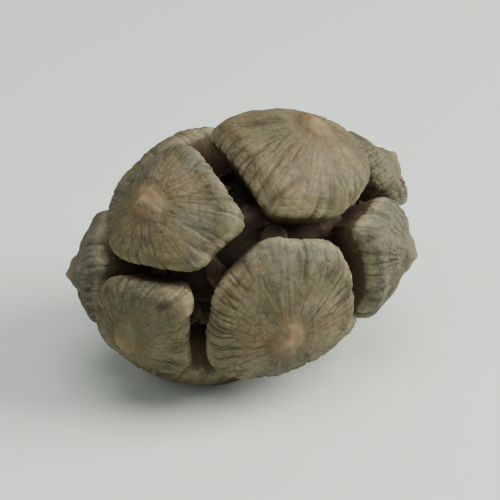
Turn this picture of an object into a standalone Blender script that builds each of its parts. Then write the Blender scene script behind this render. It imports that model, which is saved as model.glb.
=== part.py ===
# A dried cypress cone that lies on its side, with the cut stub of its stalk.
# Metres, +Z up. +X runs along the cone from its tip to its stalk end.
# The origin is at the middle of the whole thing's box, on the surface it lies on.

import math
import random

import bpy
import bmesh
from mathutils import Matrix, Vector

MM = 0.001
STALKWARD = -0.5 * math.pi    # the turn, in radians, at which a scale faces the stalk end

# The egg that the scales' faces follow
HALF_LENGTH = 14.4 * MM
HALF_WIDTH = 10.9 * MM
BASE_FULLNESS = 0.05          # share by which the stalk half is fuller than the tip half

# Six pairs of scales, each pair crossed over the one before it
PAIRS = 6
LAST = PAIRS - 1
LEVELS = (1, 2, 3, 4)         # the corner levels between the tip seam and the base seam
FIRST_LEVEL = 56.8            # degrees from the tip to the first level of corners
LEVEL_STEP = 26.6             # degrees from one level of corners to the next
ZIGZAG = 9.2                  # degrees that a level's corners stand off the diagonals
TIP_SEAM = 24.0               # degrees from the tip to each end of the seam across it
BASE_SEAM = 20.0              # degrees from the stalk to each end of the seam across the base
UNEVEN = 2.2                  # degrees that a corner strays at most
STRAY_SEED = 11

# One scale's face. The first three go by how many corners the scale has:
# four at the tip and the stalk, five beside those, and six round the middle
GAPS = {4: 0.9 * MM, 5: 1.5 * MM, 6: 1.6 * MM}    # between two of its kind
CORNER_HARDNESS = {4: 6.0, 5: 11.0, 6: 13.0}      # larger is a sharper corner
CORNER_SPREADS = {4: 14.0, 5: 9.0, 6: 8.0}        # degrees between the points that round a corner
NOTCH_WIDTH = 0.5             # radians, of the notch that the last pair leaves for the stalk
NOTCH_ROOM = 0.4 * MM         # that it is deeper than the stalk needs
NOTCH_STEEPNESS = 3           # larger keeps the notch nearer to the edge
DOME = 0.95 * MM              # rise of the face from its edge to its middle
RIM_ROLL = 0.18 * MM          # swelling just inside the edge
RIM_AT = 0.8                  # share of the way out where the swelling is highest
RIM_WIDTH = 0.1
EDGE_FROM = 0.82              # share of the way out where the edge starts to round over
EDGE_ROUND = 0.85 * MM        # drop of the face over its rounded edge
UMBO_HEIGHT = 0.5 * MM
UMBO_LONG = 1.5 * MM          # half size across the cone
UMBO_SHORT = 0.85 * MM        # half size along the cone
LEAN_STRAY = 1.5              # degrees that a scale leans at most, either way
RISE_STRAY = 0.2 * MM         # that its face stands higher or lower at most

# One scale's body, a wedge that narrows to a stalk of its own
FOOT_RADIUS = 1.6 * MM
FOOT_SPREAD = 0.42            # how far along the core the feet spread, as a share of the faces

# Steps of the mesh
NOTCH_TURNS = (-24.0, -12.0, 12.0, 24.0)          # degrees off the notch's middle
FACE_STEPS = (0.1, 0.19, 0.3, 0.5, 0.68, 0.82, 0.92, 1.0)
# Below the face: share of the way to the core, and width as a share of a straight taper
BODY_STEPS = ((0.06, 1.0), (0.25, 1.01), (0.45, 1.0), (0.65, 0.84))
FOOT_STEPS = (0.82, 0.98)

# The core that the scales grow from, as full as with the seeds packed round it:
# share of its length, and radius as a share
CORE_RADIUS = 6.0 * MM
CORE_TIP = -9.0 * MM
CORE_END = 13.6 * MM
CORE_AROUND = 24
CORE_STEPS = ((0.03, 0.36), (0.12, 0.68), (0.28, 0.95), (0.45, 1.0), (0.62, 0.94), (0.78, 0.7),
              (0.9, 0.38), (1.0, 0.26))

# The stub of the stalk: share of its length, and radius as a share
STALK_GAP = 0.3 * MM
STALK_LENGTH = 1.4 * MM
STALK_RADIUS = 1.35 * MM
STALK_AROUND = 24
STALK_STEPS = ((0.0, 1.12), (0.25, 1.04), (0.5, 0.96), (0.72, 1.03), (0.95, 0.98), (1.0, 0.9))

# How it lies
TIP_DIP = 6.5                 # degrees that the tip points down
ROLL = 11.0                   # degrees that the upper row of scales leans to the front
REST_DEPTH = 0.42 * MM        # pressed flat at the lowest scales

# Finish
SMOOTH_UP_TO = 35.0           # degrees between faces that still shade as one
SCALE_COLOUR = (0.19, 0.155, 0.085)
SCALE_ROUGHNESS = 0.75
STALK_COLOUR = (0.16, 0.12, 0.075)
STALK_ROUGHNESS = 0.8


def clear_scene():
    for thing in list(bpy.data.objects):
        bpy.data.objects.remove(thing, do_unlink=True)


def wood(name, colour, roughness):
    material = bpy.data.materials.new(name)
    material.use_nodes = True
    shader = material.node_tree.nodes["Principled BSDF"]
    shader.inputs["Base Color"].default_value = (*colour, 1.0)
    shader.inputs["Roughness"].default_value = roughness
    shader.inputs["Metallic"].default_value = 0.0
    return material


def direction(polar, azimuth):
    # unit direction from the cone's middle; polar counts from the tip, azimuth from the top
    t = math.radians(polar)
    a = math.radians(azimuth)
    return Vector((-math.cos(t), -math.sin(t) * math.sin(a), math.sin(t) * math.cos(a)))


def egg_point(way):
    # the point of the egg that a unit direction stands for
    width = HALF_WIDTH * (1.0 + BASE_FULLNESS * way.x)
    return Vector((HALF_LENGTH * way.x, width * way.y, width * way.z))


def egg_normal(way):
    return Vector((way.x / HALF_LENGTH, way.y / HALF_WIDTH, way.z / HALF_WIDTH)).normalized()


def egg_span(way, facing):
    # metres of the egg's surface per radian of direction; facing is 0 across the cone
    along = math.hypot(HALF_LENGTH * math.sqrt(1.0 - way.x ** 2), HALF_WIDTH * way.x)
    return math.hypot(HALF_WIDTH * math.cos(facing), along * math.sin(facing))


def seam_corners():
    # Corners where the seams between scales meet, keyed by level and quarter.
    # Level 0 is the seam across the tip, and the last level the one across the base.
    stray = random.Random(STRAY_SEED)
    corners = {}
    for half in (0, 1):
        tip_azimuth = 180.0 * half + stray.uniform(-UNEVEN, UNEVEN)
        base_azimuth = 180.0 * half + 90.0 + stray.uniform(-UNEVEN, UNEVEN)
        corners[0, half] = direction(TIP_SEAM, tip_azimuth)
        corners[LAST, half] = direction(180.0 - BASE_SEAM, base_azimuth)
    for level in LEVELS:
        for quarter in range(4):
            side = -1.0 if (level + quarter) % 2 == 0 else 1.0
            polar = FIRST_LEVEL + LEVEL_STEP * (level - 1) + stray.uniform(-UNEVEN, UNEVEN)
            azimuth = 45.0 + 90.0 * quarter + side * ZIGZAG + stray.uniform(-UNEVEN, UNEVEN)
            corners[level, quarter] = direction(polar, azimuth)
    return corners


def scale_corners(corners, pair, half):
    # the corners round one scale; odd pairs stand above and below, even ones at the sides
    after = (2 * half + (0 if pair % 2 else 1)) % 4
    before = (after - 1) % 4
    found = [corners[level, quarter] for quarter in (before, after)
             for level in (pair - 1, pair, pair + 1) if level in LEVELS]
    if pair == 0:
        found += [corners[0, 0], corners[0, 1]]
    if pair == 1:
        found.append(corners[0, half])
    if pair == LAST - 1:
        found.append(corners[LAST, half])
    if pair == LAST:
        found += [corners[LAST, 0], corners[LAST, 1]]
    return found


class Scale:
    # one shield scale, as a rule that gives a point for each angle and step

    def __init__(self, corners, pair, half, stray):
        ring = scale_corners(corners, pair, half)
        self.middle = sum(ring, Vector()).normalized()
        self.toward_tip = (Vector((-1, 0, 0)) + self.middle * self.middle.x).normalized()
        self.across = self.toward_tip.cross(self.middle).normalized()
        self.rise = stray.uniform(-RISE_STRAY, RISE_STRAY)
        lean = math.radians(LEAN_STRAY)
        self.lean = (Matrix.Rotation(stray.uniform(-lean, lean), 4, self.across)
                     @ Matrix.Rotation(stray.uniform(-lean, lean), 4, self.toward_tip))
        self.edges = self.find_edges(ring)
        self.notch = 0.0
        if pair == LAST:
            self.notch = (STALK_RADIUS + NOTCH_ROOM) / egg_span(self.middle, STALKWARD)
        self.turns = self.find_turns()
        self.top = egg_point(self.middle)
        self.foot = Vector((self.top.x * FOOT_SPREAD, 0.0, 0.0))

    def flat(self, way):
        # a direction carried to the plane that touches the sphere at the scale's middle,
        # where the seams between corners are straight
        return Vector((way.dot(self.across), way.dot(self.toward_tip))) / way.dot(self.middle)

    def find_edges(self, ring):
        # each side of the outline as the way it faces and its distance from the middle
        spots = sorted((self.flat(way) for way in ring), key=lambda spot: math.atan2(spot.y, spot.x))
        edges = []
        for spot, following in zip(spots, spots[1:] + spots[:1]):
            along = (following - spot).normalized()
            facing = math.atan2(-along.x, along.y)
            room = 0.5 * GAPS[len(ring)]
            angle = math.atan(spot.x * along.y - spot.y * along.x)
            edges.append((facing, math.tan(angle - room / egg_span(self.middle, facing))))
        return edges

    def find_turns(self):
        # three points at each corner of the outline and one half way to the next
        corners = []
        for (facing, distance), (following, beyond) in zip(self.edges, self.edges[1:] + self.edges[:1]):
            x = distance * math.sin(following) - beyond * math.sin(facing)
            y = beyond * math.cos(facing) - distance * math.cos(following)
            corners.append(math.atan2(y, x))
        spread = math.radians(CORNER_SPREADS[len(corners)])
        turns = [STALKWARD + math.radians(turn) for turn in NOTCH_TURNS] if self.notch else []
        for corner, following in zip(corners, corners[1:] + corners[:1]):
            way_on = (following - corner) % (2.0 * math.pi)
            turns += [corner - spread, corner, corner + spread, corner + 0.5 * way_on]
        return sorted(turn % (2.0 * math.pi) for turn in turns)

    def reach(self, turn):
        # angle in radians from the middle to the rounded outline
        hardness = CORNER_HARDNESS[len(self.edges)]
        total = 0.0
        for facing, distance in self.edges:
            total += (max(0.0, math.cos(turn - facing)) / distance) ** hardness
        return math.atan(total ** (-1.0 / hardness))

    def drawn_back(self, turn):
        # angle in radians by which the edge keeps back from the stalk
        off = (turn - STALKWARD + math.pi) % (2.0 * math.pi) - math.pi
        return self.notch * math.exp(-(off / NOTCH_WIDTH) ** 2)

    def sideways(self, turn):
        return self.across * math.cos(turn) + self.toward_tip * math.sin(turn)

    def face_height(self, turn, step, angle):
        across = angle * math.cos(turn) * HALF_WIDTH
        along = angle * math.sin(turn) * HALF_WIDTH
        height = self.rise + DOME * (0.5 - step ** 2)
        height += RIM_ROLL * math.exp(-((step - RIM_AT) / RIM_WIDTH) ** 2)
        height += UMBO_HEIGHT * math.exp(-(across / UMBO_LONG) ** 2 - (along / UMBO_SHORT) ** 2)
        over = max(0.0, (step - EDGE_FROM) / (1.0 - EDGE_FROM))
        return height - EDGE_ROUND * (1.0 - math.sqrt(1.0 - min(1.0, over) ** 2))

    def face_point(self, turn, step):
        angle = step * self.reach(turn) - step ** NOTCH_STEEPNESS * self.drawn_back(turn)
        way = self.middle * math.cos(angle) + self.sideways(turn) * math.sin(angle)
        return egg_point(way) + egg_normal(way) * self.face_height(turn, step, angle)

    def body_point(self, turn, depth, width):
        edge = self.face_point(turn, 1.0) - self.top
        return self.top.lerp(self.foot, depth) + edge * (1.0 - depth) * width

    def foot_point(self, turn, depth):
        return self.top.lerp(self.foot, depth) + self.sideways(turn) * FOOT_RADIUS

    def placed(self, point):
        return self.foot + self.lean @ (point - self.foot)

    def rings(self):
        for step in FACE_STEPS:
            yield [self.placed(self.face_point(turn, step)) for turn in self.turns]
        for depth, width in BODY_STEPS:
            yield [self.placed(self.body_point(turn, depth, width)) for turn in self.turns]
        for depth in FOOT_STEPS:
            yield [self.placed(self.foot_point(turn, depth)) for turn in self.turns]


def loft(rings, first, last):
    # a closed shape through rings of points, from one end point to the other
    shape = bmesh.new()
    start = shape.verts.new(first)
    rows = [[shape.verts.new(point) for point in ring] for ring in rings]
    end = shape.verts.new(last)
    around = len(rows[0])
    for n in range(around):
        following = (n + 1) % around
        shape.faces.new((start, rows[0][n], rows[0][following]))
        for upper, lower in zip(rows, rows[1:]):
            shape.faces.new((upper[n], lower[n], lower[following], upper[following]))
        shape.faces.new((end, rows[-1][following], rows[-1][n]))
    bmesh.ops.recalc_face_normals(shape, faces=shape.faces)
    bmesh.ops.triangulate(shape, faces=shape.faces)
    return shape


def new_object(name, shape, collection):
    mesh = bpy.data.meshes.new(name)
    shape.to_mesh(mesh)
    shape.free()
    thing = bpy.data.objects.new(name, mesh)
    collection.objects.link(thing)
    return thing


def build_scales(collection):
    corners = seam_corners()
    stray = random.Random(STRAY_SEED + 1)
    for pair in range(PAIRS):
        for half in (0, 1):
            scale = Scale(corners, pair, half, stray)
            top = scale.placed(scale.face_point(0.0, 0.0))
            new_object(f"scale_{pair}_{half}", loft(scale.rings(), top, scale.foot), collection)


def turned(name, start, length, radius, steps, around, collection):
    # a round bar along X whose radius changes from step to step
    rings = []
    for share, width in steps:
        x = start + share * length
        angles = [2.0 * math.pi * n / around for n in range(around)]
        rings.append([Vector((x, radius * width * math.cos(a), radius * width * math.sin(a))) for a in angles])
    shape = loft(rings, Vector((start, 0.0, 0.0)), Vector((start + length, 0.0, 0.0)))
    return new_object(name, shape, collection)


def fuse(body, parts):
    # one solid from the body and everything in the collection
    union = body.modifiers.new("fuse", "BOOLEAN")
    union.operation = "UNION"
    union.operand_type = "COLLECTION"
    union.collection = parts
    union.solver = "EXACT"
    depsgraph = bpy.context.evaluated_depsgraph_get()
    fused = bpy.data.meshes.new_from_object(body.evaluated_get(depsgraph))
    body.modifiers.clear()
    body.data = fused
    for part in list(parts.objects):
        bpy.data.objects.remove(part, do_unlink=True)
    bpy.data.collections.remove(parts)


def lay_down(things):
    # turn about the cone's length, then dip the tip
    dip = Matrix.Rotation(math.radians(-TIP_DIP), 4, "Y")
    roll = Matrix.Rotation(math.radians(ROLL), 4, "X")
    for thing in things:
        thing.data.transform(dip @ roll)


def press_flat(body):
    # cut the lowest scales level, and give the height of the cut
    floor = min(vertex.co.z for vertex in body.data.vertices) + REST_DEPTH
    shape = bmesh.new()
    shape.from_mesh(body.data)
    everything = shape.verts[:] + shape.edges[:] + shape.faces[:]
    cut = bmesh.ops.bisect_plane(shape, geom=everything, dist=1e-7, plane_co=(0, 0, floor),
                                 plane_no=(0, 0, -1), clear_outer=True)
    rim = [piece for piece in cut["geom_cut"] if isinstance(piece, bmesh.types.BMEdge)]
    bmesh.ops.edgeloop_fill(shape, edges=rim)
    bmesh.ops.recalc_face_normals(shape, faces=shape.faces)
    shape.to_mesh(body.data)
    shape.free()
    return floor


def centre(things, floor):
    # put the origin at the middle of the box, on the surface
    spots = [vertex.co for thing in things for vertex in thing.data.vertices]
    x = 0.5 * (min(spot.x for spot in spots) + max(spot.x for spot in spots))
    y = 0.5 * (min(spot.y for spot in spots) + max(spot.y for spot in spots))
    for thing in things:
        thing.data.transform(Matrix.Translation((-x, -y, -floor)))


def main():
    clear_scene()
    home = bpy.context.scene.collection
    parts = bpy.data.collections.new("scales")
    home.children.link(parts)
    build_scales(parts)
    cone = turned("cone", CORE_TIP, CORE_END - CORE_TIP, CORE_RADIUS, CORE_STEPS, CORE_AROUND, home)
    fuse(cone, parts)
    stalk = turned("stalk", CORE_END + STALK_GAP, STALK_LENGTH, STALK_RADIUS, STALK_STEPS,
                   STALK_AROUND, home)
    lay_down((cone, stalk))
    centre((cone, stalk), press_flat(cone))
    cone.data.materials.append(wood("scale_wood", SCALE_COLOUR, SCALE_ROUGHNESS))
    stalk.data.materials.append(wood("stalk_wood", STALK_COLOUR, STALK_ROUGHNESS))
    for thing in (cone, stalk):
        thing.data.shade_smooth()
        thing.data.set_sharp_from_angle(angle=math.radians(SMOOTH_UP_TO))


main()
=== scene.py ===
import math
import random

import bpy
import numpy as np
from mathutils import Matrix, Vector
from mathutils.bvhtree import BVHTree


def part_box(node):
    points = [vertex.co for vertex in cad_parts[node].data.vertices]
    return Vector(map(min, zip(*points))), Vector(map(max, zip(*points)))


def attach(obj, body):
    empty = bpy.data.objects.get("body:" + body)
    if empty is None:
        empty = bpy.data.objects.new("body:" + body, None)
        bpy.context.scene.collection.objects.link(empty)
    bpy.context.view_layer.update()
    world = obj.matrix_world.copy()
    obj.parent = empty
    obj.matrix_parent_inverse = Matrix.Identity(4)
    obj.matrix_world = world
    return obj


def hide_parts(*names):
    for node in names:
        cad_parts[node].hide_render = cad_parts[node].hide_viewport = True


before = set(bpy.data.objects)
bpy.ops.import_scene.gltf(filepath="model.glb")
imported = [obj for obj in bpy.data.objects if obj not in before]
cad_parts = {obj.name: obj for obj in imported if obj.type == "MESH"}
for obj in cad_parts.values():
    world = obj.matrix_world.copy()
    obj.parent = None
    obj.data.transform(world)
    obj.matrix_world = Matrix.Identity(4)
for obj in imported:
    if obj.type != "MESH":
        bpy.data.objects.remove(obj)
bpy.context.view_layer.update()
home = bpy.context.scene.collection
mm = 0.001
fullTurn = 2.0 * math.pi


# node values: what a socket gives, which can be added, multiplied and so on as a number can

class NodeValue:
    def __init__(self, socket):
        self.socket = socket
        self.tree = socket.id_data

    def __add__(self, other):
        return calc("ADD", self, other)

    def __sub__(self, other):
        return calc("SUBTRACT", self, other)

    def __rsub__(self, other):
        return calc("SUBTRACT", other, self)

    def __mul__(self, other):
        return calc("MULTIPLY", self, other)

    def __truediv__(self, other):
        return calc("DIVIDE", self, other)

    def __rtruediv__(self, other):
        return calc("DIVIDE", other, self)

    def __pow__(self, other):
        return calc("POWER", self, other)

    def __neg__(self):
        return calc("MULTIPLY", self, -1.0)

    def __abs__(self):
        return calc("ABSOLUTE", self)


def feed(node, inputs):
    for name, value in inputs.items():
        if isinstance(value, NodeValue):
            value.tree.links.new(value.socket, node.inputs[name])
        else:
            node.inputs[name].default_value = value


def addNode(tree, kind, inputs=None, **settings):
    node = tree.nodes.new(kind)
    for name, value in settings.items():
        setattr(node, name, value)
    feed(node, inputs or {})
    return node


def made(tree, kind, inputs=None, output=0, **settings):
    return NodeValue(addNode(tree, kind, inputs, **settings).outputs[output])


def treeOf(*values):
    return next(value.tree for value in values if isinstance(value, NodeValue))


def isVector(value):
    if isinstance(value, NodeValue):
        return value.socket.type in ("VECTOR", "RGBA")
    return isinstance(value, tuple)


def calc(operation, *values):
    tree = treeOf(*values)
    if not any(map(isVector, values)):
        return made(tree, "ShaderNodeMath", dict(enumerate(values)), operation=operation)
    if operation == "MULTIPLY":
        return made(tree, "ShaderNodeVectorMath", {0: values[0], "Scale": values[1]}, operation="SCALE")
    output = "Value" if operation == "LENGTH" else "Vector"
    return made(tree, "ShaderNodeVectorMath", dict(enumerate(values)), output, operation=operation)


def larger(first, second):
    return calc("MAXIMUM", first, second)


def joined(x, y, z):
    return made(treeOf(x, y, z), "ShaderNodeCombineXYZ", {"X": x, "Y": y, "Z": z})


def alike(value):
    return joined(value, value, value)


def split(vector):
    parts = addNode(vector.tree, "ShaderNodeSeparateXYZ", {0: vector}).outputs
    return [NodeValue(part) for part in parts]


def eased(value, low, high, toLow=0.0, toHigh=1.0):
    limits = {"Value": value, "From Min": low, "From Max": high, "To Min": toLow, "To Max": toHigh}
    return made(value.tree, "ShaderNodeMapRange", limits, "Result", interpolation_type="SMOOTHSTEP")


def bell(value, width):
    # 1 where value is 0, and fading out over width
    share = value / width
    return calc("EXPONENT", -(share * share))


def noise(vector, fineness, detail=2.0, roughness=0.5, distortion=0.0, output=0):
    inputs = {"Vector": vector, "Scale": fineness, "Detail": detail, "Roughness": roughness,
              "Distortion": distortion}
    return made(vector.tree, "ShaderNodeTexNoise", inputs, output)


def creases(field, width):
    # 1 along the lines where a noise crosses its middle, and fading out over width
    return 1.0 - eased(abs(field - 0.5), 0.0, width)


def cellEdges(vector, fineness, width):
    # 1 along the borders of a pattern of cells
    inputs = {"Vector": vector, "Scale": fineness}
    off = made(vector.tree, "ShaderNodeTexVoronoi", inputs, "Distance", feature="DISTANCE_TO_EDGE")
    return 1.0 - eased(off, 0.0, width)


def roundTurn(turn):
    return calc("COSINE", turn), calc("SINE", turn)


def fanned(cosTurn, sinTurn, count, along):
    # a place for noise that changes faster round the middle, the larger count is
    return joined(cosTurn * count, sinTurn * count, along)


def curveThrough(value, points):
    node = addNode(value.tree, "ShaderNodeFloatCurve", {"Value": value})
    curve = node.mapping.curves[0]
    for extra in points[2:]:
        curve.points.new(*extra)
    for point, place in zip(curve.points, points):
        point.location = place
        point.handle_type = "VECTOR"
    node.mapping.update()
    return NodeValue(node.outputs[0])


# geometry trees

def own(tree, name, kind="FLOAT"):
    return made(tree, "GeometryNodeInputNamedAttribute", {"Name": name}, "Attribute", data_type=kind)


def keep(geometry, name, value, kind="FLOAT"):
    inputs = {"Geometry": geometry, "Name": name, "Value": value}
    return made(geometry.tree, "GeometryNodeStoreNamedAttribute", inputs, data_type=kind, domain="POINT")


def here(tree):
    return made(tree, "GeometryNodeInputPosition")


def placed(geometry, point):
    return made(geometry.tree, "GeometryNodeSetPosition", {"Geometry": geometry, "Position": point})


def raised(geometry, height):
    # out along the surface's own normals
    outward = made(geometry.tree, "GeometryNodeInputNormal")
    return made(geometry.tree, "GeometryNodeSetPosition", {"Geometry": geometry, "Offset": outward * height})


def socketKind(value):
    if isinstance(value, bpy.types.Material):
        return "NodeSocketMaterial"
    if isinstance(value, (tuple, Vector)):
        return "NodeSocketColor" if len(value) == 4 else "NodeSocketVector"
    return "NodeSocketInt" if isinstance(value, int) else "NodeSocketFloat"


def inputsOf(tree):
    return {socket.name: NodeValue(socket) for socket in tree.nodes.new("NodeGroupInput").outputs}


def newTree(name, sizes):
    # a geometry tree whose sizes are named inputs
    tree = bpy.data.node_groups.new(name, "GeometryNodeTree")
    tree.interface.new_socket("Geometry", in_out="OUTPUT", socket_type="NodeSocketGeometry")
    tree.interface.new_socket("Geometry", in_out="INPUT", socket_type="NodeSocketGeometry")
    for label, value in sizes.items():
        tree.interface.new_socket(label, in_out="INPUT", socket_type=socketKind(value))
    return tree, inputsOf(tree)


def endTree(tree, geometry, wood):
    smooth = made(tree, "GeometryNodeSetShadeSmooth", {"Geometry": geometry})
    whole = made(tree, "GeometryNodeRealizeInstances", {"Geometry": smooth})
    painted = made(tree, "GeometryNodeSetMaterial", {"Geometry": whole, "Material": wood})
    feed(tree.nodes.new("NodeGroupOutput"), {0: painted})


def laidDown(size, geometry):
    # turn about the length, dip the tip, and press what is lowest flat on the surface
    angles = joined(calc("RADIANS", size["Roll"]), -calc("RADIANS", size["Tip Dip"]), 0.0)
    inputs = {"Geometry": geometry, "Rotation": angles, "Translation": size["Place"]}
    turned = made(geometry.tree, "GeometryNodeTransform", inputs)
    x, y, z = split(here(geometry.tree))
    return placed(turned, joined(x, y, larger(z, 0.0)))


def grow(sheet, tree, sizes):
    # run a tree on a sheet, and keep the result as a plain mesh
    modifier = sheet.modifiers.new(tree.name, "NODES")
    modifier.node_group = tree
    for item in tree.interface.items_tree:
        if item.in_out == "INPUT" and item.name in sizes:
            modifier[item.identifier] = sizes[item.name]
    depsgraph = bpy.context.evaluated_depsgraph_get()
    mesh = bpy.data.meshes.new_from_object(sheet.evaluated_get(depsgraph))
    mesh.name = sheet.name
    sheet.modifiers.clear()
    sheet.data = mesh
    return sheet


# sheets: flat stand-ins whose points carry the numbers that a tree makes the real form from

sheetNumbers = ("step", "depth", "turn", "reach", "notch", "corner", "open", "rise", "leanAcross", "leanTip",
                "pattern")
sheetVectors = ("middle", "towardTip", "across")


def circle(count):
    return np.linspace(0.0, fullTurn, count, endpoint=False)


def poled(first, between, last):
    # a sheet has one point at each pole, and rings of points between them
    return np.concatenate([[first], between, [last]])


def sheetFaces(rows, count):
    faces = []
    last = rows * count + 1
    for n in range(count):
        following = (n + 1) % count
        faces.append((0, 1 + n, 1 + following))
        faces.append((last, 1 + (rows - 1) * count + following, 1 + (rows - 1) * count + n))
    for row in range(rows - 1):
        first = 1 + row * count
        for n in range(count):
            following = (n + 1) % count
            faces.append((first + n, first + count + n, first + count + following, first + following))
    return faces


def sheetObject(name, sheets):
    # several sheets in one object, with their numbers as attributes
    faces = []
    offset = 0
    for numbers, sheet in sheets:
        faces += [tuple(corner + offset for corner in face) for face in sheet]
        offset += len(numbers["step"])
    together = {key: np.concatenate([numbers[key] for numbers, _ in sheets]).astype(np.float32)
                for key in sheets[0][0]}
    mesh = bpy.data.meshes.new(name)
    mesh.from_pydata([(float(step), 0.0, 0.0) for step in together["step"]], [], faces)
    for key, values in together.items():
        kind, field = ("FLOAT_VECTOR", "vector") if values.ndim == 2 else ("FLOAT", "value")
        mesh.attributes.new(key, kind, "POINT").data.foreach_set(field, values.ravel())
    thing = bpy.data.objects.new(name, mesh)
    home.objects.link(thing)
    return thing


# the egg that the scales' faces follow

egg = {
    "Half Length": 14.4 * mm,
    "Half Width": 10.9 * mm,
    "Base Fullness": 0.05,     # share by which the stalk half is fuller
}

# how the seams between the scales run

cone = {
    "pairs": 6,
    "levels": (1, 2, 3, 4),    # corner levels between the tip seam and the base seam
    "firstLevel": 56.8,        # degrees from the tip
    "levelStep": 26.6,
    "zigzag": 9.2,             # degrees that a level's corners stand off the diagonals
    "tipSeam": 24.0,           # degrees from the tip to each end of the seam across it
    "baseSeam": 20.0,
    "uneven": 2.2,             # degrees that a corner strays
    "strays": 11,              # seed of everything uneven
    "patterns": 1775,          # seed of each scale's own wrinkles
    # each scale's tone, pair by pair from the tip: near 0 is grey, near 1 is tan
    "tones": ((0.38, 0.10), (0.38, 0.80), (0.61, 0.95), (0.94, 0.11), (0.06, 0.63), (0.23, 0.06)),
}

scale = {
    "gap": {4: 0.9 * mm, 5: 1.5 * mm, 6: 1.6 * mm},  # by the number of corners
    "cornerHardness": {4: 6.0, 5: 11.0, 6: 13.0},    # by the number of corners; larger is sharper
    "cornerWidth": 0.2,        # radians, of the ridge that runs to a corner
    "notchWidth": 0.5,         # radians, of the notch that the last pair leaves for the stalk
    "notchRoom": 0.4 * mm,     # that it is deeper than the stalk needs
    "leanStray": 1.5,          # degrees
    "riseStray": 0.2 * mm,
    "bodyWidths": ((0.0, 1.0), (0.06, 1.0), (0.25, 1.01), (0.45, 1.0), (0.65, 0.84), (1.0, 0.6)),
    "around": 256,             # points round a scale
    "faceRings": 92,
    "bodyRings": 30,
    "faceCrowding": 1.35,      # rings crowd towards the rounded edge from both sides
    "bodyCrowding": 1.25,
    "bodyReach": 0.99,         # share of the way to the foot's middle where the last ring stands
}

form = {
    "Dome": 0.95 * mm,
    "Rim Roll": 0.18 * mm,     # low swelling inside the edge
    "Rim At": 0.8,             # share of the way from the middle to the edge
    "Rim Width": 0.1,
    "Edge From": 0.82,         # share of the way where the edge starts to round off
    "Edge Round": 0.85 * mm,
    "Umbo Height": 0.20 * mm,  # its boss, keel and point come on top
    "Umbo Long": 1.5 * mm,
    "Umbo Short": 0.85 * mm,
    "Foot Radius": 1.6 * mm,
    "Foot Spread": 0.42,
    "Foot From": 0.65,         # share of the way to the core where the wedge turns into a stalk
    "Foot To": 0.82,
}


def direction(polar, azimuth):
    t, a = math.radians(polar), math.radians(azimuth)
    return Vector((-math.cos(t), -math.sin(t) * math.sin(a), math.sin(t) * math.cos(a)))


def strayed(stray, most):
    return stray.uniform(-most, most)


def seamCorners():
    stray = random.Random(cone["strays"])
    uneven = cone["uneven"]
    last = cone["pairs"] - 1
    corners = {}
    for half in (0, 1):
        tipAzimuth = 180.0 * half + strayed(stray, uneven)
        baseAzimuth = 180.0 * half + 90.0 + strayed(stray, uneven)
        corners[0, half] = direction(cone["tipSeam"], tipAzimuth)
        corners[last, half] = direction(180.0 - cone["baseSeam"], baseAzimuth)
    for level in cone["levels"]:
        for quarter in range(4):
            side = -1.0 if (level + quarter) % 2 == 0 else 1.0
            polar = cone["firstLevel"] + cone["levelStep"] * (level - 1) + strayed(stray, uneven)
            azimuth = 45.0 + 90.0 * quarter + side * cone["zigzag"] + strayed(stray, uneven)
            corners[level, quarter] = direction(polar, azimuth)
    return corners


def cornersRound(corners, pair, half):
    last = cone["pairs"] - 1
    after = (2 * half + (0 if pair % 2 else 1)) % 4
    before = (after - 1) % 4
    found = [corners[level, quarter] for quarter in (before, after)
             for level in (pair - 1, pair, pair + 1) if level in cone["levels"]]
    if pair in (0, last):
        found += [corners[pair, 0], corners[pair, 1]]
    if pair == 1:
        found.append(corners[0, half])
    if pair == last - 1:
        found.append(corners[last, half])
    return found


def eggSpan(way, facing):
    along = math.hypot(egg["Half Length"] * math.sqrt(1.0 - way.x ** 2), egg["Half Width"] * way.x)
    return math.hypot(egg["Half Width"] * math.cos(facing), along * math.sin(facing))


def outline(ring, middle, across, towardTip):
    # each side of a scale's outline: the way it faces and its distance from the middle
    spots = [Vector((way.dot(across), way.dot(towardTip))) / way.dot(middle) for way in ring]
    spots.sort(key=lambda spot: math.atan2(spot.y, spot.x))
    edges = []
    for spot, following in zip(spots, spots[1:] + spots[:1]):
        along = (following - spot).normalized()
        facing = math.atan2(-along.x, along.y)
        angle = math.atan(spot.x * along.y - spot.y * along.x)
        edges.append((facing, math.tan(angle - 0.5 * scale["gap"][len(ring)] / eggSpan(middle, facing))))
    return edges, [math.atan2(spot.y, spot.x) for spot in spots]


def reachOf(turns, edges):
    hardness = scale["cornerHardness"][len(edges)]
    total = sum((np.maximum(0.0, np.cos(turns - facing)) / off) ** hardness for facing, off in edges)
    return np.arctan(total ** (-1.0 / hardness))


def turnedOff(turns, middle):
    # how far each turn is from the middle one, either way round
    return (turns - middle + math.pi) % fullTurn - math.pi


def notchOf(turns, middle, pair):
    # how far the edge draws back from the stalk
    if pair < cone["pairs"] - 1:
        return np.zeros_like(turns)
    towardStalk = -0.5 * math.pi
    deep = (stalk["Radius"] + scale["notchRoom"]) / eggSpan(middle, towardStalk)
    return deep * np.exp(-(turnedOff(turns, towardStalk) / scale["notchWidth"]) ** 2)


def cornerNearness(turns, cornerTurns):
    width = scale["cornerWidth"]
    return np.max([np.exp(-(turnedOff(turns, corner) / width) ** 2) for corner in cornerTurns], axis=0)


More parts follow.
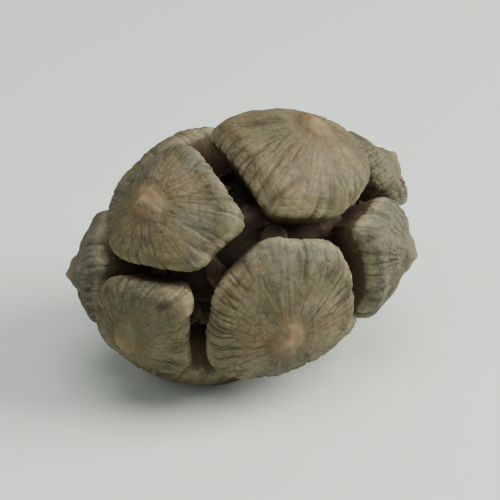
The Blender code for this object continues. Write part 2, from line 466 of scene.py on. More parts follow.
def scaleSheet(corners, pair, half, stray, draw):
    ring = cornersRound(corners, pair, half)
    middle = sum(ring, Vector()).normalized()
    towardTip = (Vector((-1, 0, 0)) + middle * middle.x).normalized()
    across = towardTip.cross(middle).normalized()
    lean = math.radians(scale["leanStray"])
    sameAllOver = {"rise": strayed(stray, scale["riseStray"]), "leanAcross": strayed(stray, lean),
                   "leanTip": strayed(stray, lean), "pattern": draw.random(),
                   "tone": cone["tones"][pair][half],
                   "middle": middle, "towardTip": towardTip, "across": across}
    edges, cornerTurns = outline(ring, middle, across, towardTip)
    turns = circle(scale["around"])
    reach = reachOf(turns, edges)
    notch = notchOf(turns, middle, pair)
    near = cornerNearness(turns, cornerTurns)
    shares = np.linspace(0.0, 1.0, scale["faceRings"] + 1)[1:]
    steps = 1.0 - (1.0 - shares) ** scale["faceCrowding"]
    depths = np.linspace(0.0, 1.0, scale["bodyRings"] + 1)[1:] ** scale["bodyCrowding"] * scale["bodyReach"]
    stepRows = np.concatenate([steps, np.ones(len(depths))])
    depthRows = np.concatenate([np.zeros(len(steps)), depths])
    rows, count = len(stepRows), len(turns)
    numbers = {
        "step": poled(0.0, np.repeat(stepRows, count), 1.0),
        "depth": poled(0.0, np.repeat(depthRows, count), 1.0),
        "turn": poled(0.0, np.tile(turns, rows), 0.0),
        "reach": poled(reach[0], np.tile(reach, rows), reach[0]),
        "notch": poled(notch[0], np.tile(notch, rows), notch[0]),
        "corner": poled(0.0, np.tile(near, rows), 0.0),
        "open": poled(1.0, np.ones(rows * count), 0.0),
    }
    for name, value in sameAllOver.items():
        numbers[name] = np.full((rows * count + 2, *np.shape(value)), value)
    return numbers, sheetFaces(rows, count)


# the tree that grows a scale out of its sheet

def eggPoint(size, way):
    x, y, z = split(way)
    width = size["Half Width"] * (size["Base Fullness"] * x + 1.0)
    return joined(size["Half Length"] * x, width * y, width * z)


def faceHeight(size, at, angle):
    step = at["step"]
    arc = angle * size["Half Width"]
    umbo = bell(arc * at["cos"], size["Umbo Long"]) * bell(arc * at["sin"], size["Umbo Short"])
    rim = bell(step - size["Rim At"], size["Rim Width"])
    past = (step - size["Edge From"]) / (1.0 - size["Edge From"])
    past = calc("MINIMUM", larger(past, 0.0), 1.0)
    fall = 1.0 - calc("SQRT", 1.0 - past * past)
    height = size["Dome"] * (0.5 - step * step) + at["rise"] + size["Rim Roll"] * rim
    return height + size["Umbo Height"] * umbo - size["Edge Round"] * fall


def scaleForm(size, at):
    # the smooth form of a scale, from its angle, step and depth
    side = at["across"] * at["cos"] + at["towardTip"] * at["sin"]
    angle = at["step"] * at["reach"] - at["notch"] * at["step"] ** 3.0
    cosAngle, sinAngle = roundTurn(angle)
    way = at["middle"] * cosAngle + side * sinAngle
    outward = calc("NORMALIZE", way / joined(size["Half Length"], size["Half Width"], size["Half Width"]))
    face = eggPoint(size, way) + outward * faceHeight(size, at, angle)
    # below the face the outline shrinks towards the foot
    top = eggPoint(size, at["middle"])
    foot = joined(split(top)[0] * size["Foot Spread"], 0.0, 0.0)
    line = top + (foot - top) * at["depth"]
    taper = (1.0 - at["depth"]) * curveThrough(at["depth"], scale["bodyWidths"])
    body = line + (face - top) * taper
    ownStalk = line + side * (size["Foot Radius"] * at["open"])
    blend = eased(at["depth"], size["Foot From"], size["Foot To"])
    point = made(blend.tree, "ShaderNodeMix", {0: blend, 4: body, 5: ownStalk}, 1, data_type="VECTOR")
    for axis, lean in (("towardTip", "leanTip"), ("across", "leanAcross")):
        inputs = {"Vector": point, "Center": foot, "Axis": at[axis], "Angle": at[lean]}
        point = made(point.tree, "ShaderNodeVectorRotate", inputs, rotation_type="AXIS_ANGLE")
    return point


relief = {
    "Wave Depth": 0.13 * mm,      # slow hollows and swellings
    "Wave Size": 3.2 * mm,
    "Wrinkle Depth": 0.085 * mm,  # wrinkles that run out from the umbo
    "Wrinkles": 5.0,
    "Crack Depth": 0.14 * mm,     # cracks that run in from the rim
    "Net Depth": 0.04 * mm,       # fine crossed wrinkles
    "Net Size": 0.8 * mm,
    "Net Bend": 0.8 * mm,         # how far they stray from straight
    "Net Fade": 0.75,             # share by which they are fainter on the umbo
    "Corner Ridge": 0.05 * mm,    # low ridges from the umbo to the corners
    "Keel Height": 0.12 * mm,     # ridge across the umbo
    "Keel Width": 0.24 * mm,
    "Keel Reach": 1.9 * mm,
    "Keel Bow": 90.0,             # per metre, how much it curves
    "Boss Height": 0.15 * mm,     # flat-topped boss under the keel
    "Boss Ring": 0.10 * mm,       # hollow round the boss
    "Umbo Point": 0.32 * mm,
    "Point Width": 0.34 * mm,
    "Point Lean": 0.25 * mm,      # how far the point stands off the middle, towards the tip
    "Blush Long": 2.1 * mm,       # of the warm colour round the umbo
    "Blush Short": 1.5 * mm,
    "Grit Depth": 0.012 * mm,
    "Edge Wander": 0.05,
    "Seed": 3.0,
    # how fine each noise is, per metre
    "Patches": 260.0,
    "Tears": 420.0,
    "Boss Edge": 800.0,
    "Net Bends": 900.0,
    "Grit": 5200.0,
}


def fanWrinkles(size, at, height):
    # out from the umbo: noise that changes fast with the turn and slowly with the step
    step = at["step"]
    fan = fanned(at["cos"], at["sin"], size["Wrinkles"], at["depth"] * 1.1 + (step * 1.5 + at["shift"]))
    patchy = eased(noise(at["place"], size["Patches"]), 0.36, 0.62, 0.25, 1.0)
    fade = eased(step, 0.1, 0.42) * patchy * eased(step, 1.0, 0.86, 0.45, 1.0)
    groove = creases(noise(fan, 1.0, 3.0, 0.5, 0.4), 0.06) * fade
    swell = (noise(fan, 0.45, 2.0, 0.6, 0.8) - 0.6) * (fade * eased(step, 1.0, 0.7, 0.4, 1.0))
    return height - groove * size["Wrinkle Depth"] + swell * (size["Wrinkle Depth"] * 1.6), groove


def rimCracks(size, at):
    ray = fanned(at["cos"], at["sin"], 2.3, at["step"] * 0.35 + at["shift"])
    torn = noise(at["place"], size["Tears"]) * 0.9 + at["step"]
    return cellEdges(ray, 1.6, 0.07) * eased(torn, 0.95, 1.25) * at["onFace"]


def umboForm(size, at, height):
    # a boss with a hollow round it, a bowed keel across it, and a point
    onFace = at["onFace"]
    arc = at["step"] * at["reach"] * size["Half Width"]
    sideways, upwards = arc * at["cos"], arc * at["sin"]
    off = calc("LENGTH", joined(sideways / size["Umbo Long"], upwards / size["Umbo Short"], 0.0))
    off = (noise(at["place"], size["Boss Edge"]) - 0.5) * 0.5 + off
    boss = eased(off, 1.25, 0.8) * onFace
    ring = bell(off - 1.5, 0.4) * onFace
    bow = sideways * sideways * size["Keel Bow"]
    keel = bell(upwards + bow, size["Keel Width"]) * bell(sideways, size["Keel Reach"]) * onFace
    tipward = upwards - size["Point Lean"]
    point = bell(sideways, size["Point Width"]) * bell(tipward, size["Point Width"]) * onFace
    height = height + boss * size["Boss Height"] - ring * size["Boss Ring"]
    height = height + keel * size["Keel Height"] + point * size["Umbo Point"]
    blush = bell(sideways, size["Blush Long"]) * bell(upwards, size["Blush Short"]) * onFace
    return height, boss, ring, {"boss": blush, "point": point}


def netGrooves(size, at, boss):
    # fine crossed wrinkles, fainter on the umbo
    bend = noise(at["place"], size["Net Bends"], output="Color") - (0.5, 0.5, 0.5)
    net = cellEdges(at["place"] + bend * size["Net Bend"], 1.0 / size["Net Size"], 0.14)
    return net * (1.0 - boss * size["Net Fade"])


def wrinkles(size, at):
    # how far the surface stands off its smooth form, and the masks that its paint follows
    wave = noise(at["place"] + alike(at["shift"]), 1.0 / size["Wave Size"])
    height = (wave - 0.68) * (size["Wave Depth"] * 2.0)
    height, groove = fanWrinkles(size, at, height)
    crack = rimCracks(size, at)
    crest = at["corner"] * at["onFace"] * calc("SINE", at["step"] * math.pi)
    height = height - crack * size["Crack Depth"] + crest * size["Corner Ridge"]
    height, boss, ring, masks = umboForm(size, at, height)
    net = netGrooves(size, at, boss)
    height = height - net * size["Net Depth"] + (noise(at["place"], size["Grit"]) - 0.5) * size["Grit Depth"]
    for other in (net * 0.5, crack, ring * 0.35):
        groove = larger(groove, other)
    return height, {"groove": groove, "wave": wave, **masks}


def scaleTree(sizes):
    tree, size = newTree("growScales", sizes)
    at = {name: own(tree, name) for name in sheetNumbers}
    at.update({name: own(tree, name, "FLOAT_VECTOR") for name in sheetVectors})
    at["cos"], at["sin"] = roundTurn(at["turn"])
    # the outline wanders a little, as nothing grown is ruled
    wander = noise(joined(at["cos"], at["sin"], at["pattern"] * 19.0), 3.2, 3.0, 0.6) - 0.56
    at["reach"] = at["reach"] * (wander * size["Edge Wander"] + 1.0)
    kept = placed(size["Geometry"], scaleForm(size, at))
    at["place"] = here(tree)
    at["onFace"] = 1.0 - eased(at["depth"], 0.0, 0.12)
    at["shift"] = at["pattern"] * 37.0 + size["Seed"]
    height, masks = wrinkles(size, at)
    for name, mask in masks.items():
        kept = keep(kept, name, mask)
    kept = keep(kept, "fan", joined(at["cos"], at["sin"], at["depth"] * 0.8 + at["step"]), "FLOAT_VECTOR")
    endTree(tree, laidDown(size, raised(kept, height)), size["Wood"])
    return tree


# the core and the stalk: bars whose rings come from a table, given their bark by one tree

core = {
    "Start": -9.0 * mm,        # from the cone's middle, towards the stalk
    "Length": 22.6 * mm,
    "Radius": 6.0 * mm,
    "Fibre Depth": 0.18 * mm,
    "Fibres": 5.0,
    "Lump Depth": 0.22 * mm,
    "Lump Size": 2.2 * mm,
    "Leaf Depth": 0.0,
    "Leaf Length": 4.0 * mm,
    "Cut Depth": 0.0,
    "Cut Grain": 2600.0,       # per metre
    "Cut Rings": 30.0,         # radians of their wave, from the rim to the pith
    "Seed": 4.0,
}
coreRings = {
    "around": 96,
    "rings": 90,
    "widths": ((0.0, 0.0), (0.03, 0.36), (0.12, 0.68), (0.28, 0.95), (0.45, 1.0), (0.62, 0.94), (0.78, 0.7),
               (0.9, 0.38), (1.0, 0.26)),
}

stalk = {
    "Start": 13.1 * mm,        # a little inside the core
    "Length": 2.1 * mm,
    "Radius": 1.35 * mm,
    "Fibre Depth": 0.07 * mm,
    "Fibres": 4.0,
    "Lump Depth": 0.10 * mm,
    "Lump Size": 1.1 * mm,
    "Leaf Depth": 0.16 * mm,   # remains of tiny leaves
    "Leaf Length": 1.7 * mm,
    "Cut Depth": 0.10 * mm,    # rings and checks of the cut end
    "Cut Grain": 2600.0,
    "Cut Rings": 30.0,
    "Seed": 9.0,
}
stalkRings = {
    "around": 160,
    "rings": 80,
    "widths": ((0.0, 1.1), (0.25, 1.03), (0.5, 0.96), (0.72, 1.0), (0.95, 0.98), (1.0, 0.9)),
    "bevel": (0.012, 0.045),   # of the cut end: shares of the length and the radius
    "bevelRings": (0.3, 1.2, 4),  # from and to, in radians round the bevel, and how many
    "capRings": 34,
}


def barRows(shape):
    # rows are (share of the length, share of the radius, share of the way to the end's middle)
    places, widths = zip(*shape["widths"])
    rows = [(s, np.interp(s, places, widths), 0.0) for s in np.linspace(0.0, 1.0, shape["rings"])]
    rows[0] = (0.0, 0.0, 0.0)
    if "bevel" in shape:
        edge = rows.pop()[1]
        back, inward = shape["bevel"]
        for a in np.linspace(*shape["bevelRings"]):
            rows.append((1.0 - back * (1.0 - math.cos(a)), edge * (1.0 - inward * (1.0 - math.sin(a))), 0.0))
        for s in np.linspace(0.0, 1.0, shape["capRings"])[:-1]:
            rows.append((1.0, edge * (1.0 - inward) * (1.0 - s), s))
    rows.append((1.0, 0.0, 1.0))
    return np.array(rows)


def barSheet(name, shape):
    rows = barRows(shape)
    between, around = len(rows) - 2, shape["around"]
    along, wide, cap = (poled(column[0], np.repeat(column[1:-1], around), column[-1]) for column in rows.T)
    turn = poled(0.0, np.tile(circle(around), between), 0.0)
    numbers = {"along": along, "wide": wide, "cap": cap, "turn": turn, "step": along}
    return sheetObject(name, [(numbers, sheetFaces(between, around))])


def leafRemains(size, along, cosTurn, sinTurn, strand):
    # tiny leaves in crossed pairs, their tips towards the cone
    across, upright = abs(sinTurn), abs(cosTurn)
    facing = larger(upright, across)
    run = calc("GREATER_THAN", across, upright) * 0.5 + along * size["Length"] / size["Leaf Length"]
    share = calc("FRACT", run - (1.0 - facing) * 1.7 + strand * 0.25)
    return eased(share, 0.0, 0.14) * (1.0 - eased(share, 0.35, 1.0)), eased(facing, 0.7, 0.8)


def barTree(sizes):
    tree, size = newTree("growBar", sizes)
    along, wide, turn, cap = (own(tree, name) for name in ("along", "wide", "turn", "cap"))
    cosTurn, sinTurn = roundTurn(turn)
    radius = size["Radius"] * wide
    point = joined(size["Length"] * along + size["Start"], radius * sinTurn, radius * cosTurn)
    kept = placed(size["Geometry"], point)
    place = here(tree)
    onCap = eased(cap, 0.0, 0.02)
    onSide = 1.0 - onCap
    # fibres that run along it, lumps and leaves
    fan = fanned(cosTurn, sinTurn, size["Fibres"], along * 2.2 + size["Seed"])
    strand = noise(fan, 1.0, 3.0, 0.55, 0.3)
    furrow = creases(strand, 0.09) * onSide
    lump = noise(place, 1.0 / size["Lump Size"], 3.0) - 0.58
    leaf, onLeaf = leafRemains(size, along, cosTurn, sinTurn, strand)
    leaf = leaf * (onSide * onLeaf)
    height = furrow * -size["Fibre Depth"] + lump * (size["Lump Depth"] * 2.0) + leaf * size["Leaf Depth"]
    # the cut: rings, and checks that run out from the pith
    rings = calc("SINE", cap * size["Cut Rings"] + strand * 4.0)
    check = creases(noise(fanned(cosTurn, sinTurn, 2.6, size["Seed"]), 1.0), 0.03)
    check = check * onCap * eased(cap, 1.0, 0.75)
    sunk = larger(check, eased(cap, 0.84, 0.93) * onCap)
    cut = rings * 0.1 + (noise(place, size["Cut Grain"], 3.0) - 0.8)
    height = height + (cut - sunk) * (size["Cut Depth"] * onCap)
    kept = keep(kept, "groove", larger(furrow * 0.8, sunk))
    kept = keep(kept, "leaf", leaf)
    kept = keep(kept, "rings", (rings * 0.5 + 0.5) * onCap)
    kept = keep(kept, "fan", fan, "FLOAT_VECTOR")
    endTree(tree, laidDown(size, raised(kept, height)), size["Wood"])
    return tree


# seeds, where the gaps show the core

seeds = {
    "Length": 3.6 * mm,
    "Width": 2.4 * mm,
    "Thickness": 0.9 * mm,
    "Spacing": 1.9 * mm,
    "Lean": 0.5,               # radians that a seed tilts at most
    "Spin": 3.1,               # radians that it turns at most, either way
    "Smallest": 0.75,
    "Dents": 900.0,            # per metre
    "Seed": 21,
}
seedBall = {"Segments": 20, "Rings": 12, "Radius": 0.5}
seedsEnd = 0.85                # share of the core's length past which there are none


def seedTree(sizes):
    tree, size = newTree("sowSeeds", sizes)
    # one seed: a flattened drop with a thin wing all round
    x, y, z = split(here(tree))
    flat = z * abs(z * 2.0) ** 0.6
    drop = joined(x * size["Length"], y * (x * -0.7 + 1.0) * size["Width"], flat * size["Thickness"])
    seed = placed(made(tree, "GeometryNodeMeshUVSphere", seedBall), drop)
    inputs = {"Mesh": size["Geometry"], "Distance Min": size["Spacing"], "Density Max": 1.0e6,
              "Density Factor": own(tree, "free"), "Seed": size["Seed"]}
    sown = addNode(tree, "GeometryNodeDistributePointsOnFaces", inputs, distribute_method="POISSON").outputs
    most = joined(size["Lean"], size["Lean"], size["Spin"])
    inputs = {"Seed": size["Seed"], 0: -most, 1: most}
    lean = made(tree, "FunctionNodeRandomValue", inputs, data_type="FLOAT_VECTOR")
    inputs = {"Rotation": NodeValue(sown["Rotation"]), 1: lean}
    turned = made(tree, "FunctionNodeRotateRotation", inputs, rotation_space="LOCAL")
    inputs = {"Seed": size["Seed"] + 1.0, 2: size["Smallest"], 3: 1.0}
    large = made(tree, "FunctionNodeRandomValue", inputs, 1, data_type="FLOAT")
    inputs = {"Points": NodeValue(sown["Points"]), "Instance": seed, "Rotation": turned,
              "Scale": alike(large)}
    strewn = made(tree, "GeometryNodeInstanceOnPoints", inputs)
    real = made(tree, "GeometryNodeRealizeInstances", {"Geometry": strewn})
    dent = noise(here(tree), size["Dents"]) - 0.5
    endTree(tree, raised(real, dent * (size["Thickness"] * 0.4)), size["Wood"])
    return tree


def markFree(carrier, pieces):
    # 1 at the carrier's points that no scale covers, 0 where one does and beside the stalk
    walls = []
    for mesh in (piece.data for piece in pieces):
        faces = [tuple(face.vertices) for face in mesh.polygons]
        walls.append(BVHTree.FromPolygons([vertex.co for vertex in mesh.vertices], faces))
    steps = carrier.data.attributes["step"].data
    free = []
    for vertex in carrier.data.vertices:
        hits = [wall.ray_cast(vertex.co, vertex.normal) for wall in walls]
        covered = any(hit[0] is not None and hit[1].dot(vertex.normal) > 0.0 for hit in hits)
        free.append(0.0 if covered or steps[vertex.index].value > seedsEnd else 1.0)
    carrier.data.attributes.new("free", "FLOAT", "POINT").data.foreach_set("value", free)


# shader groups, each made once and used by several materials

def mixed(below, above, mask):
    inputs = {0: mask, 6: below, 7: above}
    return made(treeOf(mask, below, above), "ShaderNodeMix", inputs, 2, data_type="RGBA")


def patchMask(given):
    # soft-edged patches of one size
    field = noise(given["Vector"] * (1.0 / given["Size"]) + alike(given["Seed"]), 1.0, 4.0, 0.55)
    return eased(field, given["From"], given["To"])


def speckMask(given):
    # small round specks, some of them missing
    inputs = {"Vector": given["Vector"] * (1.0 / given["Size"]), "Scale": 1.0}
    spot = addNode(given["Vector"].tree, "ShaderNodeTexVoronoi", inputs).outputs
    dot = eased(NodeValue(spot["Distance"]), given["Radius"], given["Radius"] * 0.6)
    return dot * calc("LESS_THAN", split(NodeValue(spot["Color"]))[0], given["Share"])


def streakMask(given):
    # fine lines that run out along a fan of directions
    x, y, z = split(given["Fan"])
    field = noise(fanned(x, y, given["Count"], z / given["Length"]), 1.0, 3.0, 0.6)
    return eased(field, given["From"], given["To"])


def wornColour(given):
    broken = noise(given["Vector"], 1.0 / given["Break Size"], 3.0, 0.6)
    mask = given["Edge"] * eased(broken, 0.35, 0.6) * given["Amount"]
    return mixed(given["Colour"], given["Worn Colour"], mask)


# painted shade: darkens the colour along the grooves, in patches, for dirt and for the shade that falls in
# them
def dirtAndShadeColour(given):
    patchy = eased(noise(given["Vector"], 1.0 / given["Patch Size"]), 0.3, 0.65, 0.35, 1.0)
    return mixed(given["Colour"], given["Dirt And Shade Colour"], given["Groove"] * patchy * given["Amount"])


def newShade(name, formula, inputs):
    # its inputs are given with the values that they start from
    tree = bpy.data.node_groups.new(name, "ShaderNodeTree")
    for label, value in inputs.items():
        tree.interface.new_socket(label, in_out="INPUT", socket_type=socketKind(value)).default_value = value
    output = ("Colour", "NodeSocketColor") if "Colour" in inputs else ("Mask", "NodeSocketFloat")
    tree.interface.new_socket(output[0], in_out="OUTPUT", socket_type=output[1])
    result = formula(inputsOf(tree))
    feed(tree.nodes.new("NodeGroupOutput"), {0: result})
    return tree


origin = (0.0, 0.0, 0.0)
plain = (0.1, 0.1, 0.1, 1.0)
shades = {
    "patches": newShade("patches", patchMask, {"Vector": origin, "Size": 1.0, "From": 0.45, "To": 0.6,
                                               "Seed": 0.0}),
    "specks": newShade("specks", speckMask, {"Vector": origin, "Size": 1.0, "Share": 0.3, "Radius": 0.3}),
    "streaks": newShade("streaks", streakMask, {"Fan": origin, "Count": 20.0, "Length": 1.0, "From": 0.5,
                                                "To": 0.7}),
    "wornEdge": newShade("wornEdge", wornColour, {"Colour": plain, "Worn Colour": plain, "Edge": 0.0,
                                                  "Vector": origin, "Break Size": 1.0 * mm, "Amount": 1.0}),
    "dirtAndShade": newShade("dirtAndShade", dirtAndShadeColour, {"Colour": plain, "Dirt And Shade Colour": plain, "Groove": 0.0,
                                           "Vector": origin, "Patch Size": 2.0 * mm, "Amount": 0.8}),
}


def use(name, *values):
    # a shader group's mask or colour; the values stand in the order of its inputs
    return made(treeOf(*values), "ShaderNodeGroup", dict(enumerate(values)), node_tree=shades[name])


# materials: colours, and the sizes of what covers them

def newMaterial(name, paint):
    # colours come out of the paint as a shader takes them
    material = bpy.data.materials.new(name)
    material.use_nodes = True
    tree = material.node_tree
    place = made(tree, "ShaderNodeTexCoord", output="Object")
    return material, tree, place, {key: (*colour, 1.0) for key, colour in paint["colours"].items()}


def mark(tree, name, output="Fac"):
    return made(tree, "ShaderNodeAttribute", output=output, attribute_name=name)


def coat(tree, colour, roughness, height, paint):
    bump = made(tree, "ShaderNodeBump", {"Height": height, "Distance": paint["bump"],
                                         "Strength": paint["bumpStrength"]})
    feed(tree.nodes["Principled BSDF"], {"Base Color": colour, "Roughness": roughness, "Normal": bump,
                                         "Specular IOR Level": paint["specular"]})


scalePaint = {
    "colours": {
        "olive": (0.080, 0.073, 0.035),
        "tan": (0.133, 0.103, 0.048),
        "grey": (0.109, 0.108, 0.078),
        "green": (0.079, 0.083, 0.038),
        "boss": (0.172, 0.094, 0.033),
        "rim": (0.230, 0.198, 0.112),
        # painted shade and dirt: the dark colour that the grooves are given
        "dirtAndShade": (0.022, 0.018, 0.010),
        "speck": (0.030, 0.022, 0.012),
        "streak": (0.060, 0.034, 0.017),
        "wall": (0.104, 0.070, 0.038),
        "stain": (0.060, 0.036, 0.020),
        # painted shade: the dark that the walls take on deep between the scales
        "deep": (0.046, 0.031, 0.019),
    },
    # patches: size, where they begin and are full, seed
    "warm": (5.5 * mm, 0.40, 0.60),
    "grey": (3.2 * mm, 0.48, 0.66, 7.0),
    "green": (4.2 * mm, 0.52, 0.68, 13.0),
    "blush": (1.6 * mm, 0.34, 0.60, 3.0),
    "stain": (1.8 * mm, 0.42, 0.62, 21.0),
    # streaks: count, length, where they begin and are full
    "dark": (22.0, 0.45, 0.48, 0.72),
    "pale": (31.0, 0.6, 0.56, 0.74),
    # specks: size, share of them that is there, radius
    "specks": (0.55 * mm, 0.22, 0.30),
    # wear, and dirt with painted shade in the grooves: size, amount
    "worn": (1.3 * mm, 0.85),
    "dirtAndShade": (2.5 * mm, 0.8),
    "toned": 0.72,             # how much a scale's tone warms it
    # how strongly each covers what lies under it
    "cover": {"grey": 0.7, "green": 0.6, "dark": 0.5, "pale": 0.35, "point": 0.55, "wave": 0.25, "speck": 0.5,
              "wallDark": 0.65, "wallStain": 0.55, "wallPale": 0.4},
    "specular": 0.3,
    "grain": 6500.0,           # per metre
    "bump": 0.03 * mm,
    "bumpStrength": 0.8,
}


def makeScaleWood(paint):
    material, tree, place, colours = newMaterial("scaleWood", paint)
    fan = mark(tree, "fan", "Vector")
    marks = ("step", "depth", "tone", "groove", "boss")
    step, depth, tone, groove, boss = (mark(tree, name) for name in marks)
    dark, pale = use("streaks", fan, *paint["dark"]), use("streaks", fan, *paint["pale"])
    cover = paint["cover"]
    # the face: olive and tan, greyer or warmer by its tone, with green patches
    warm = use("patches", place, *paint["warm"]) + (tone - 0.5) * paint["toned"]
    grey = use("patches", place, *paint["grey"])
    colour = mixed(colours["olive"], colours["tan"], warm)
    greyed = larger(grey * cover["grey"], eased(tone, 0.35, 0.05, 0.0, 0.75))
    colour = mixed(colour, colours["grey"], greyed)
    colour = mixed(colour, colours["green"], use("patches", place, *paint["green"]) * cover["green"])
    # warm brown round the umbo, more on some scales
    blush = boss * use("patches", place, *paint["blush"])
    colour = mixed(colour, colours["boss"], blush * eased(tone, 0.1, 0.9, 0.35, 1.0))
    # streaks, the pale point and swellings, the worn edge, dirt with painted shade in the grooves, and specks
    colour = mixed(colour, colours["streak"], dark * eased(step, 0.1, 0.4) * cover["dark"])
    colour = mixed(colour, colours["rim"], pale * eased(step, 0.1, 0.5) * cover["pale"])
    colour = mixed(colour, colours["rim"], mark(tree, "point") * cover["point"])
    colour = mixed(colour, colours["rim"], eased(mark(tree, "wave"), 0.52, 0.72) * cover["wave"])
    edge = eased(step, 0.86, 0.965) * (1.0 - eased(depth, 0.0, 0.03))
    colour = use("wornEdge", colour, colours["rim"], edge, place, *paint["worn"])
    # painted shade: the grooves are darkened, in patches, as dirt and as the shade in them
    colour = use("dirtAndShade", colour, colours["dirtAndShade"], groove, place, *paint["dirtAndShade"])
    colour = mixed(colour, colours["speck"], use("specks", place, *paint["specks"]) * cover["speck"])
    # walls between the scales: brown, with painted shade that darkens them where they go down to the core
    wall = mixed(colours["wall"], colours["deep"], eased(depth, 0.05, 0.38))
    wall = mixed(wall, colours["streak"], dark * cover["wallDark"])
    wall = mixed(wall, colours["stain"], use("patches", place, *paint["stain"]) * cover["wallStain"])
    wall = mixed(wall, colours["rim"], pale * eased(depth, 0.4, 0.0, 0.0, cover["wallPale"]))
    colour = mixed(colour, wall, eased(depth, 0.002, 0.035))
    rough = groove * 0.2 + (grey * 0.12 + 0.58)
    grain = noise(place, paint["grain"], 4.0, 0.65) + dark * -0.6
    coat(tree, colour, larger(rough, eased(depth, 0.0, 0.05, 0.0, 0.95)), grain, paint)
    return material


corePaint = {
    "colours": {"light": (0.090, 0.058, 0.034), "dark": (0.036, 0.024, 0.016), "dirtAndShade": (0.016, 0.011, 0.008)},
    "patches": (2.0 * mm, 0.4, 0.65, 5.0),
    "streaks": (3.0, 0.5, 0.45, 0.7),
    "dirtAndShade": (2.0 * mm, 0.8),
    "specular": 0.2,
    "grain": 5000.0,
    "bump": 0.04 * mm,
    "bumpStrength": 1.0,
}


def makeCoreWood(paint):
    material, tree, place, colours = newMaterial("coreWood", paint)
    patch = use("patches", place, *paint["patches"])
    streak = use("streaks", mark(tree, "fan", "Vector"), *paint["streaks"])
    colour = mixed(colours["dark"], colours["light"], patch * streak)
    # painted shade: the furrows and checks are darkened, in patches, as dirt and as the shade in them
    colour = use("dirtAndShade", colour, colours["dirtAndShade"], mark(tree, "groove"), place, *paint["dirtAndShade"])
    coat(tree, colour, patch * -0.15 + 0.95, noise(place, paint["grain"], 3.0), paint)
    return material


seedPaint = {
    "colours": {"shell": (0.100, 0.058, 0.030), "dark": (0.045, 0.028, 0.016), "wing": (0.150, 0.100, 0.055)},
    "patches": (1.6 * mm, 0.38, 0.62, 4.0),
    "specks": (0.4 * mm, 0.35, 0.35),
    "cover": {"wing": 0.4},
    "specular": 0.35,
    "grain": 4000.0,
    "bump": 0.03 * mm,
    "bumpStrength": 1.0,
}


def makeSeedShell(paint):
    material, tree, place, colours = newMaterial("seedShell", paint)
    patch = use("patches", place, *paint["patches"])
    colour = mixed(colours["shell"], colours["dark"], patch)
    colour = mixed(colour, colours["wing"], use("specks", place, *paint["specks"]) * paint["cover"]["wing"])
    coat(tree, colour, patch * 0.2 + 0.5, noise(place, paint["grain"], 3.0), paint)
    return material


stalkPaint = {
    "colours": {"bark": (0.105, 0.078, 0.050), "grey": (0.150, 0.135, 0.110), "red": (0.120, 0.055, 0.026),
                "dirtAndShade": (0.018, 0.012, 0.008), "cut": (0.330, 0.235, 0.130), "heart": (0.190, 0.115, 0.055)},
    "patches": (1.4 * mm, 0.42, 0.6, 2.0),
    "ruddy": (1.0 * mm, 0.5, 0.65, 9.0),
    "streaks": (2.2, 0.5, 0.46, 0.7),
    "worn": (0.6 * mm, 0.35),
    "dirtAndShade": (1.0 * mm, 0.85),
    "cover": {"ruddy": 0.8, "streak": 0.5, "rings": 0.4},
    "specular": 0.5,
    "grain": 7000.0,
    "bump": 0.03 * mm,
    "bumpStrength": 1.0,
}


def makeStalkWood(paint):
    material, tree, place, colours = newMaterial("stalkWood", paint)
    cap = mark(tree, "cap")
    patch = use("patches", place, *paint["patches"])
    streak = use("streaks", mark(tree, "fan", "Vector"), *paint["streaks"])
    cover = paint["cover"]
    colour = mixed(colours["bark"], colours["grey"], patch)
    colour = mixed(colour, colours["red"], use("patches", place, *paint["ruddy"]) * cover["ruddy"])
    colour = mixed(colour, colours["dirtAndShade"], streak * cover["streak"])
    colour = use("wornEdge", colour, colours["cut"], mark(tree, "leaf"), place, *paint["worn"])
    cutWood = mixed(colours["cut"], colours["heart"], eased(cap, 0.45, 0.95))
    cutWood = mixed(cutWood, colours["heart"], mark(tree, "rings") * cover["rings"])
    colour = mixed(colour, cutWood, eased(cap, 0.04, 0.14))
    # painted shade: the furrows and checks are darkened, in patches, as dirt and as the shade in them
    colour = use("dirtAndShade", colour, colours["dirtAndShade"], mark(tree, "groove"), place, *paint["dirtAndShade"])
    grain = noise(place, paint["grain"], 4.0, 0.65) + streak * -0.5
    coat(tree, colour, patch * 0.15 + 0.68, grain, paint)
    return material


# where the whole thing lies: the box of the model's stub says how far it was moved

laying = {
    "Roll": 11.0,              # degrees that the upper row leans to the front
    "Tip Dip": 6.5,            # degrees that the tip points down
}
stubEnds = ((13.9 * mm, 1.12), (15.3 * mm, 0.9))  # of the model's stub: place and share of the stalk's radius
stubSides = 24


def placeOfCone():
    dip = Matrix.Rotation(math.radians(-laying["Tip Dip"]), 3, "Y")
    turn = dip @ Matrix.Rotation(math.radians(laying["Roll"]), 3, "X")
    points = []
    for x, share in stubEnds:
        r = stalk["Radius"] * share
        points += [turn @ Vector((x, r * math.cos(a), r * math.sin(a))) for a in circle(stubSides)]
    low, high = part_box("stalk")
    x = low.x - min(point.x for point in points)
    y = 0.5 * (low.y + high.y) - 0.5 * (min(point.y for point in points) + max(point.y for point in points))
    z = high.z - max(point.z for point in points)
    return Vector((x, y, z))


laying["Place"] = placeOfCone()


# make the pieces

def finish(piece, node):
    # drop the numbers that only the tree needed, hang the piece under the root, and hide the model's part
    # that it stands for
    usedUp = {*sheetNumbers, *sheetVectors, "wide", "along"} - {"step", "depth"}
    for name in [name for name in piece.data.attributes.keys() if name in usedUp]:
        piece.data.attributes.remove(piece.data.attributes[name])
    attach(piece, "root")
    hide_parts(node)
    print(piece.name, len(piece.data.polygons), "faces")
    return piece


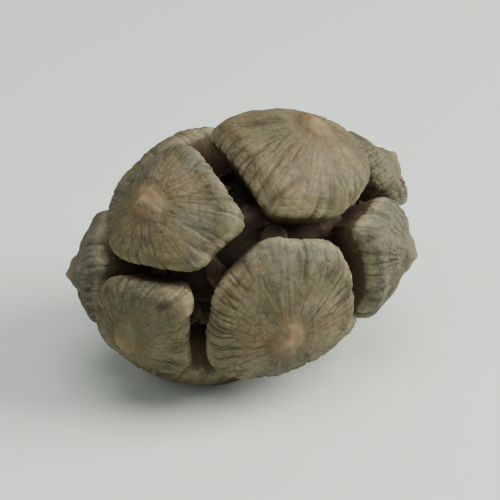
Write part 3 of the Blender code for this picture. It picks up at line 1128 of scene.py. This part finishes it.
def makeScales(wood):
    sizes = {**egg, **form, **relief, **laying, "Wood": wood}
    tree = scaleTree(sizes)
    corners = seamCorners()
    stray = random.Random(cone["strays"] + 1)
    draw = random.Random(cone["patterns"])
    pieces = []
    for pair in range(cone["pairs"]):
        sheets = [scaleSheet(corners, pair, half, stray, draw) for half in (0, 1)]
        piece = grow(sheetObject(f"scalePair{pair + 1}", sheets), tree, sizes)
        pieces.append(finish(piece, "cone"))
    return pieces


def makeSeeds(carrier, pieces, wood):
    bed = bpy.data.objects.new("seeds", carrier.data.copy())
    home.objects.link(bed)
    markFree(bed, pieces)
    sizes = {**seeds, "Wood": wood}
    finish(grow(bed, seedTree(sizes), sizes), "cone")


def makeBar(name, shape, tree, sizes, node):
    return finish(grow(barSheet(name, shape), tree, sizes), node)


scalePieces = makeScales(makeScaleWood(scalePaint))
coreSizes = {**core, **laying, "Wood": makeCoreWood(corePaint)}
stalkSizes = {**stalk, **laying, "Wood": makeStalkWood(stalkPaint)}
growBar = barTree(coreSizes)
corePiece = makeBar("coneCore", coreRings, growBar, coreSizes, "cone")
makeSeeds(corePiece, scalePieces, makeSeedShell(seedPaint))
makeBar("stalkStub", stalkRings, growBar, stalkSizes, "stalk")


# floor, light and camera; a side is an azimuth and an elevation, in degrees

floorReach = 0.6               # from the middle to each side
floorPaint = {"Base Color": (0.61, 0.65, 0.59, 1.0), "Roughness": 0.85}
lights = {
    "key": {"side": (58, 38), "distance": 0.3, "size": 0.22, "power": 1.72, "colour": (1.0, 0.98, 0.95)},
    "top": {"side": (-20, 82), "distance": 0.32, "size": 0.26, "power": 0.8, "colour": (0.98, 1.0, 0.98)},
    "fill": {"side": (-75, 32), "distance": 0.35, "size": 0.3, "power": 0.21, "colour": (0.95, 0.98, 1.0)},
}
sky = {"Color": (0.9, 0.93, 0.95, 1.0), "Strength": 0.36}
view = {"side": (-29.8, 29.0), "lens": 135.0, "distance": 0.154, "aimHeight": 9.8 * mm, "nearest": 0.01}


def makeFloor():
    mesh = bpy.data.meshes.new("floor")
    r = floorReach
    mesh.from_pydata([(-r, -r, 0), (r, -r, 0), (r, r, 0), (-r, r, 0)], [], [(0, 1, 2, 3)])
    floor = bpy.data.objects.new("floor", mesh)
    home.objects.link(floor)
    material = bpy.data.materials.new("floorPaint")
    material.use_nodes = True
    feed(material.node_tree.nodes["Principled BSDF"], floorPaint)
    mesh.materials.append(material)


def hang(name, data, side, distance, height=0.0):
    # a light or camera that looks at the cone
    a, e = map(math.radians, side)
    way = Vector((math.sin(a) * math.cos(e), -math.cos(a) * math.cos(e), math.sin(e)))
    thing = bpy.data.objects.new(name, data)
    thing.location = Vector((0, 0, height)) + way * distance
    thing.rotation_euler = way.to_track_quat("Z", "Y").to_euler()
    home.objects.link(thing)
    return thing


def makeLights():
    for name, look in lights.items():
        light = bpy.data.lights.new(name, "AREA")
        light.shape = "DISK"
        light.size = look["size"]
        light.energy = look["power"]
        light.color = look["colour"]
        hang(name, light, look["side"], look["distance"])
    world = bpy.data.worlds.new("studio")
    world.use_nodes = True
    feed(world.node_tree.nodes["Background"], sky)
    bpy.context.scene.world = world


def makeCamera():
    camera = bpy.data.cameras.new("camera")
    camera.lens = view["lens"]
    camera.clip_start = view["nearest"]
    bpy.context.scene.camera = hang("camera", camera, view["side"], view["distance"], view["aimHeight"])


makeFloor()
makeLights()
makeCamera()
print("floor, lights and camera in place")
